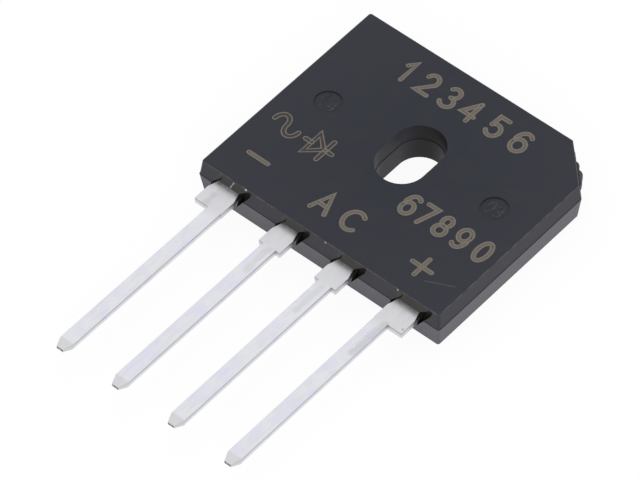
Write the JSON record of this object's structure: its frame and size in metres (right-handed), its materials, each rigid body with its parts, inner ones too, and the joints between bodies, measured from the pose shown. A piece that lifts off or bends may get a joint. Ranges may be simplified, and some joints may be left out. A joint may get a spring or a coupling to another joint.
{
  "type": "bridge rectifier",
  "caption": "Flat single-in-line bridge rectifier: moulded epoxy body with a screw slot, cut corner and tinned leads for a heat sink and circuit board.",
  "frame": {"origin": "middle of the screw slot on the heat-sink face", "axes": "+Z through the thickness to the marked face, -Y along the leads, +X towards the plus lead"},
  "size_m": [0.022, 0.0367, 0.0033],
  "materials": {
    "epoxy": "fine matt moulding, dark slate",
    "tinned_lead": "satin tin plate with light tarnish",
    "silicon": "metallised grey wafer",
    "clip_copper": "plain copper strip",
    "solder": "reflowed solder"
  },
  "bodies": {
    "root": {"epoxy_body": "epoxy", "lead_minus": "tinned_lead", "lead_ac_1": "tinned_lead", "lead_ac_2": "tinned_lead", "lead_plus": "tinned_lead", "diode_die_1": "silicon", "jumper_clip_1": "clip_copper", "solder_under_die_1": "solder", "solder_on_die_1": "solder", "solder_clip_foot_1": "solder", "diode_die_2": "silicon", "jumper_clip_2": "clip_copper", "solder_under_die_2": "solder", "solder_on_die_2": "solder", "solder_clip_foot_2": "solder", "diode_die_3": "silicon", "jumper_clip_3": "clip_copper", "solder_under_die_3": "solder", "solder_on_die_3": "solder", "solder_clip_foot_3": "solder", "diode_die_4": "silicon", "jumper_clip_4": "clip_copper", "solder_under_die_4": "solder", "solder_on_die_4": "solder", "solder_clip_foot_4": "solder"}
  },
  "joints": []
}
